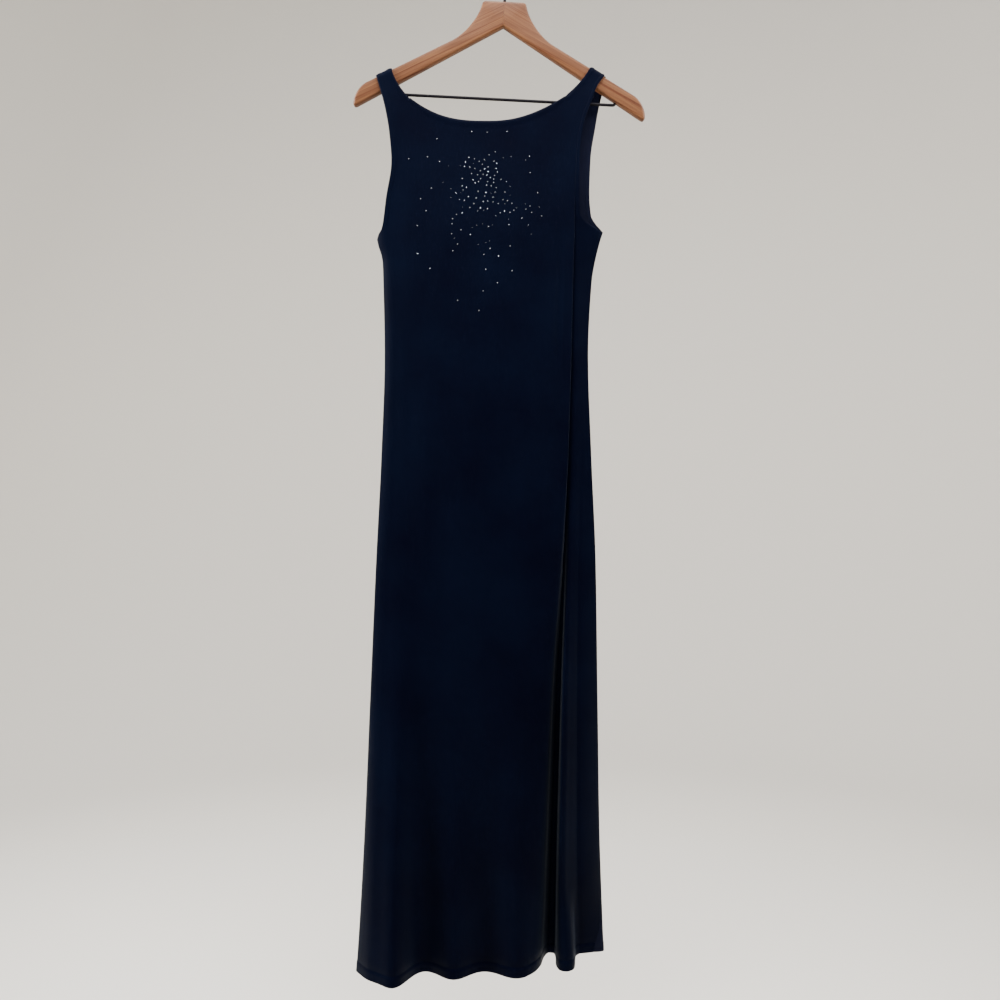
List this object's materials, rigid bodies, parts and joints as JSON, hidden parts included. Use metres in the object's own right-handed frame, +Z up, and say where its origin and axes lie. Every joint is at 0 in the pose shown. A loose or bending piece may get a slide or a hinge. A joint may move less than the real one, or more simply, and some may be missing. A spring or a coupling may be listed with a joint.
{
  "type": "evening dress on a wooden hanger",
  "caption": "Sleeveless floor-length evening dress with a wide scoop neck and a rolled side fold, on a mitred wooden hanger with a wire hook and trouser bar.",
  "frame": {"origin": "inside top of the hanger's hook, where it rests on a rail", "axes": "+Z up, along the hanging dress; +X to the viewer's right; the dress's front faces -Y"},
  "size_m": [0.4366, 0.1377, 1.5135],
  "materials": {
    "jersey": "matte stretch jersey with a soft sheen",
    "beech": "satin lacquer",
    "black_steel": "satin black",
    "rhinestone": "foil-backed cut glass"
  },
  "bodies": {
    "root": {"back_bodice": "jersey", "back_side_left_lower": "jersey", "back_side_left_middle": "jersey", "back_side_left_upper": "jersey", "back_side_right_lower": "jersey", "back_side_right_middle": "jersey", "back_side_right_upper": "jersey", "back_skirt_lower": "jersey", "back_skirt_middle": "jersey", "back_skirt_upper": "jersey", "back_strap_left": "jersey", "back_strap_right": "jersey", "front_bodice": "jersey", "front_fold_lower": "jersey", "front_fold_middle": "jersey", "front_fold_upper": "jersey", "front_side_left_lower": "jersey", "front_side_left_middle": "jersey", "front_side_left_upper": "jersey", "front_side_right_lower": "jersey", "front_side_right_middle": "jersey", "front_side_right_upper": "jersey", "front_skirt_lower": "jersey", "front_skirt_middle": "jersey", "front_skirt_upper": "jersey", "front_strap_left": "jersey", "front_strap_right": "jersey", "hanger_half_left": "beech", "hanger_half_right": "beech", "hook": "black_steel", "trouser_bar": "black_steel"}
  },
  "joints": []
}
